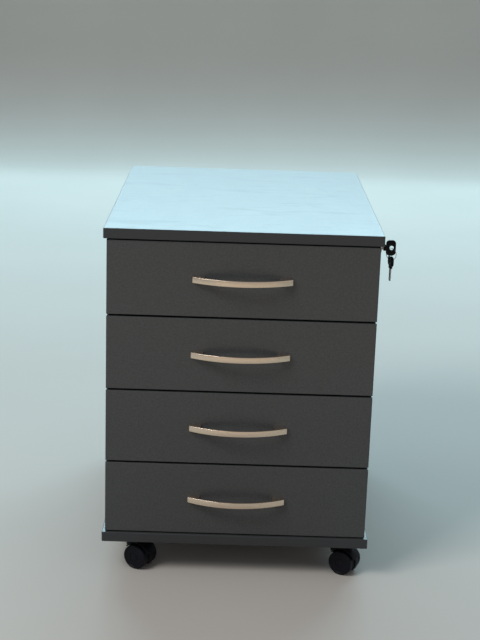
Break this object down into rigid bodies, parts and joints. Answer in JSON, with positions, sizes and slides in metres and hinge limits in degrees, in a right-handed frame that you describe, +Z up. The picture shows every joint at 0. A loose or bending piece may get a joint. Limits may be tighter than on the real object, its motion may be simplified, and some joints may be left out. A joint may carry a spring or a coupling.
{
  "type": "rolling pedestal cabinet",
  "caption": "Low office pedestal cabinet on twin-wheel casters, with bow-handled drawers on roller slides and a side-mounted central lock.",
  "frame": {"origin": "on the floor, under the middle of the top board", "axes": "+Z up, -Y out of the drawers, +X towards the side that has the lock"},
  "size_m": [0.4421, 0.594, 0.56],
  "materials": {
    "board": "dark anthracite melamine laminate with matching edge bands, satin",
    "drawer_box": "light grey foil wrap",
    "drawer_bottom": "grey faced hardboard",
    "handle": "satin nickel",
    "rail": "grey epoxy powder coat on 1.2 mm sheet",
    "nylon": "moulded white nylon",
    "zinc": "bright zinc plate",
    "lock_plating": "nickel plate",
    "key_plastic": "glossy black",
    "key_steel": "nickel-plated steel",
    "caster_hood": "black moulded nylon",
    "caster_wheel": "black moulded nylon with a fine sheen"
  },
  "bodies": {
    "carcass": {"top_panel": "board", "base_panel": "board", "left_panel": "board", "right_panel": "board", "back_panel": "board", "cabinet_fasteners": "zinc", "cabinet_rails": "rail", "caster_plates": "zinc", "lock_housing": "lock_plating"},
    "drawer_1": {"drawer_1_front": "board", "drawer_1_wrap": "drawer_box", "drawer_1_bottom": "drawer_bottom", "drawer_1_handle": "handle", "drawer_1_rails": "rail", "drawer_1_screws": "zinc"},
    "cabinet_roller_1": {"cabinet_roller_1": "nylon"},
    "drawer_1_roller": {"drawer_1_roller": "nylon"},
    "drawer_2": {"drawer_2_front": "board", "drawer_2_wrap": "drawer_box", "drawer_2_bottom": "drawer_bottom", "drawer_2_handle": "handle", "drawer_2_rails": "rail", "drawer_2_screws": "zinc"},
    "cabinet_roller_2": {"cabinet_roller_2": "nylon"},
    "drawer_2_roller": {"drawer_2_roller": "nylon"},
    "drawer_3": {"drawer_3_front": "board", "drawer_3_wrap": "drawer_box", "drawer_3_bottom": "drawer_bottom", "drawer_3_handle": "handle", "drawer_3_rails": "rail", "drawer_3_screws": "zinc"},
    "cabinet_roller_3": {"cabinet_roller_3": "nylon"},
    "drawer_3_roller": {"drawer_3_roller": "nylon"},
    "drawer_4": {"drawer_4_front": "board", "drawer_4_wrap": "drawer_box", "drawer_4_bottom": "drawer_bottom", "drawer_4_handle": "handle", "drawer_4_rails": "rail", "drawer_4_screws": "zinc"},
    "cabinet_roller_4": {"cabinet_roller_4": "nylon"},
    "drawer_4_roller": {"drawer_4_roller": "nylon"},
    "lock_plug": {"lock_plug": "lock_plating"},
    "lock_bar": {"lock_bar": "zinc"},
    "key": {"key_bow": "key_plastic", "key_blade": "key_steel"},
    "key_ring": {"key_ring": "key_steel"},
    "spare_key": {"spare_bow": "key_plastic", "spare_blade": "key_steel"},
    "caster_front_left": {"caster_front_left_hood": "caster_hood"},
    "caster_front_left_wheel_inner": {"caster_front_left_wheel_inner": "caster_wheel"},
    "caster_front_left_wheel_outer": {"caster_front_left_wheel_outer": "caster_wheel"},
    "caster_front_right": {"caster_front_right_hood": "caster_hood"},
    "caster_front_right_wheel_inner": {"caster_front_right_wheel_inner": "caster_wheel"},
    "caster_front_right_wheel_outer": {"caster_front_right_wheel_outer": "caster_wheel"},
    "caster_rear_left": {"caster_rear_left_hood": "caster_hood"},
    "caster_rear_left_wheel_inner": {"caster_rear_left_wheel_inner": "caster_wheel"},
    "caster_rear_left_wheel_outer": {"caster_rear_left_wheel_outer": "caster_wheel"},
    "caster_rear_right": {"caster_rear_right_hood": "caster_hood"},
    "caster_rear_right_wheel_inner": {"caster_rear_right_wheel_inner": "caster_wheel"},
    "caster_rear_right_wheel_outer": {"caster_rear_right_wheel_outer": "caster_wheel"}
  },
  "joints": [
    {"name": "drawer_1_slide", "type": "slide", "parent": "carcass", "child": "drawer_1", "axis": [0, -1, 0], "range_m": [0, 0.385]},
    {"name": "cabinet_roller_1_turn", "type": "hinge", "parent": "carcass", "child": "cabinet_roller_1", "pos_m": [0, -0.252, 0.4457], "axis": [1, 0, 0], "continuous": true},
    {"name": "drawer_1_roller_turn", "type": "hinge", "parent": "drawer_1", "child": "drawer_1_roller", "pos_m": [0, 0.226, 0.44525], "axis": [1, 0, 0], "continuous": true},
    {"name": "drawer_2_slide", "type": "slide", "parent": "carcass", "child": "drawer_2", "axis": [0, -1, 0], "range_m": [0, 0.385]},
    {"name": "cabinet_roller_2_turn", "type": "hinge", "parent": "carcass", "child": "cabinet_roller_2", "pos_m": [0, -0.252, 0.3277], "axis": [1, 0, 0], "continuous": true},
    {"name": "drawer_2_roller_turn", "type": "hinge", "parent": "drawer_2", "child": "drawer_2_roller", "pos_m": [0, 0.226, 0.32725], "axis": [1, 0, 0], "continuous": true},
    {"name": "drawer_3_slide", "type": "slide", "parent": "carcass", "child": "drawer_3", "axis": [0, -1, 0], "range_m": [0, 0.385]},
    {"name": "cabinet_roller_3_turn", "type": "hinge", "parent": "carcass", "child": "cabinet_roller_3", "pos_m": [0, -0.252, 0.2097], "axis": [1, 0, 0], "continuous": true},
    {"name": "drawer_3_roller_turn", "type": "hinge", "parent": "drawer_3", "child": "drawer_3_roller", "pos_m": [0, 0.226, 0.20925], "axis": [1, 0, 0], "continuous": true},
    {"name": "drawer_4_slide", "type": "slide", "parent": "carcass", "child": "drawer_4", "axis": [0, -1, 0], "range_m": [0, 0.385]},
    {"name": "cabinet_roller_4_turn", "type": "hinge", "parent": "carcass", "child": "cabinet_roller_4", "pos_m": [0, -0.252, 0.0917], "axis": [1, 0, 0], "continuous": true},
    {"name": "drawer_4_roller_turn", "type": "hinge", "parent": "drawer_4", "child": "drawer_4_roller", "pos_m": [0, 0.226, 0.09125], "axis": [1, 0, 0], "continuous": true},
    {"name": "lock_turn", "type": "hinge", "parent": "carcass", "child": "lock_plug", "pos_m": [0.1926, -0.24, 0.5335], "axis": [1, 0, 0], "range_deg": [0, 90]},
    {"name": "lock_bar_drop", "type": "slide", "parent": "carcass", "child": "lock_bar", "axis": [0, 0, -1], "range_m": [0, 0.0072]},
    {"name": "key_pull", "type": "slide", "parent": "lock_plug", "child": "key", "axis": [1, 0, 0], "range_m": [0, 0.03]},
    {"name": "ring_swing", "type": "hinge", "parent": "key", "child": "key_ring", "pos_m": [0.2248, -0.24, 0.5335], "axis": [0, 1, 0], "range_deg": [-60, 14]},
    {"name": "spare_swing", "type": "hinge", "parent": "key_ring", "child": "spare_key", "pos_m": [0.2248, -0.24, 0.5139], "axis": [-0.9903, -0.1392, 0], "range_deg": [-12, 12]},
    {"name": "caster_front_left_swivel", "type": "hinge", "parent": "carcass", "child": "caster_front_left", "pos_m": [-0.1645, -0.242, 0.04], "axis": [0, 0, 1], "continuous": true},
    {"name": "caster_front_left_wheel_inner_spin", "type": "hinge", "parent": "caster_front_left", "child": "caster_front_left_wheel_inner", "pos_m": [-0.15064, -0.25, 0.02], "axis": [0.5, 0.866, 0], "continuous": true},
    {"name": "caster_front_left_wheel_outer_spin", "type": "hinge", "parent": "caster_front_left", "child": "caster_front_left_wheel_outer", "pos_m": [-0.15064, -0.25, 0.02], "axis": [0.5, 0.866, 0], "continuous": true},
    {"name": "caster_front_right_swivel", "type": "hinge", "parent": "carcass", "child": "caster_front_right", "pos_m": [0.1645, -0.242, 0.04], "axis": [0, 0, 1], "continuous": true},
    {"name": "caster_front_right_wheel_inner_spin", "type": "hinge", "parent": "caster_front_right", "child": "caster_front_right_wheel_inner", "pos_m": [0.17836, -0.25, 0.02], "axis": [0.5, 0.866, 0], "continuous": true},
    {"name": "caster_front_right_wheel_outer_spin", "type": "hinge", "parent": "caster_front_right", "child": "caster_front_right_wheel_outer", "pos_m": [0.17836, -0.25, 0.02], "axis": [0.5, 0.866, 0], "continuous": true},
    {"name": "caster_rear_left_swivel", "type": "hinge", "parent": "carcass", "child": "caster_rear_left", "pos_m": [-0.1645, 0.242, 0.04], "axis": [0, 0, 1], "continuous": true},
    {"name": "caster_rear_left_wheel_inner_spin", "type": "hinge", "parent": "caster_rear_left", "child": "caster_rear_left_wheel_inner", "pos_m": [-0.15139, 0.23282, 0.02], "axis": [0.5736, 0.8192, 0], "continuous": true},
    {"name": "caster_rear_left_wheel_outer_spin", "type": "hinge", "parent": "caster_rear_left", "child": "caster_rear_left_wheel_outer", "pos_m": [-0.15139, 0.23282, 0.02], "axis": [0.5736, 0.8192, 0], "continuous": true},
    {"name": "caster_rear_right_swivel", "type": "hinge", "parent": "carcass", "child": "caster_rear_right", "pos_m": [0.1645, 0.242, 0.04], "axis": [0, 0, 1], "continuous": true},
    {"name": "caster_rear_right_wheel_inner_spin", "type": "hinge", "parent": "caster_rear_right", "child": "caster_rear_right_wheel_inner", "pos_m": [0.17876, 0.23474, 0.02], "axis": [0.454, 0.891, 0], "continuous": true},
    {"name": "caster_rear_right_wheel_outer_spin", "type": "hinge", "parent": "caster_rear_right", "child": "caster_rear_right_wheel_outer", "pos_m": [0.17876, 0.23474, 0.02], "axis": [0.454, 0.891, 0], "continuous": true}
  ],
  "couplings": [
    {"joint": "cabinet_roller_1_turn", "follows": "drawer_1_slide", "rad_per_m": 125},
    {"joint": "drawer_1_roller_turn", "follows": "drawer_1_slide", "rad_per_m": 125},
    {"joint": "cabinet_roller_2_turn", "follows": "drawer_2_slide", "rad_per_m": 125},
    {"joint": "drawer_2_roller_turn", "follows": "drawer_2_slide", "rad_per_m": 125},
    {"joint": "cabinet_roller_3_turn", "follows": "drawer_3_slide", "rad_per_m": 125},
    {"joint": "drawer_3_roller_turn", "follows": "drawer_3_slide", "rad_per_m": 125},
    {"joint": "cabinet_roller_4_turn", "follows": "drawer_4_slide", "rad_per_m": 125},
    {"joint": "drawer_4_roller_turn", "follows": "drawer_4_slide", "rad_per_m": 125},
    {"joint": "lock_bar_drop", "follows": "lock_turn", "m_per_rad": 0.0045}
  ]
}
